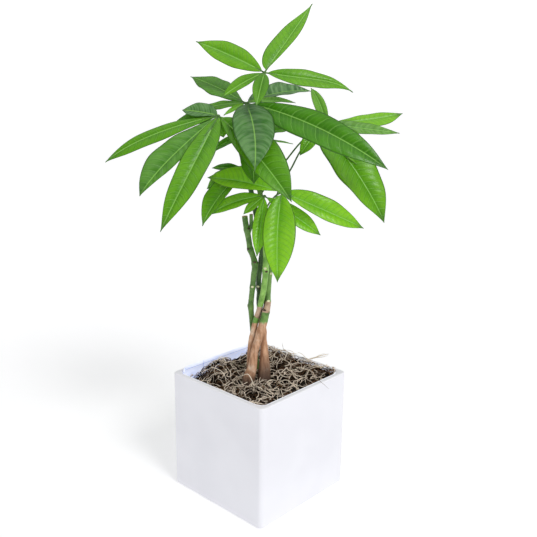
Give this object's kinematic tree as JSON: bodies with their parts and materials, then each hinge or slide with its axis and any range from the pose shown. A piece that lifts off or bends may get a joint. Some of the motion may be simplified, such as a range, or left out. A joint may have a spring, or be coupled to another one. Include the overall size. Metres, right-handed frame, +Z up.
{
  "type": "potted money tree",
  "caption": "Potted money tree: slim braided stems in a white cube pot topped with dried moss, with palmate leaves of long pointed leaflets.",
  "frame": {"origin": "middle of the pot's underside, where it stands on a surface", "axes": "+Z up; the pot's sides lie along X and Y; the plant's front looks at the pot's +X, -Y upright edge"},
  "size_m": [0.2105, 0.2465, 0.4823],
  "materials": {
    "glaze": "satin",
    "liner": "gloss",
    "soil": "matte",
    "moss": "matte",
    "green_stem": "satin",
    "bark": "matte",
    "leaf": "satin"
  },
  "bodies": {
    "root": {"pot": "glaze", "liner": "liner", "soil": "soil", "moss": "moss", "stem_cut": "green_stem", "stem_middle": "green_stem", "stem_tall": "bark", "stem_back": "bark", "leaf_top": "leaf", "leaf_crown": "leaf", "leaf_left": "leaf", "leaf_right": "leaf", "leaf_right_low": "leaf", "leaf_inner": "leaf", "leaf_low_front": "leaf", "leaf_low_right": "leaf", "leaf_low_left": "leaf"}
  },
  "joints": []
}
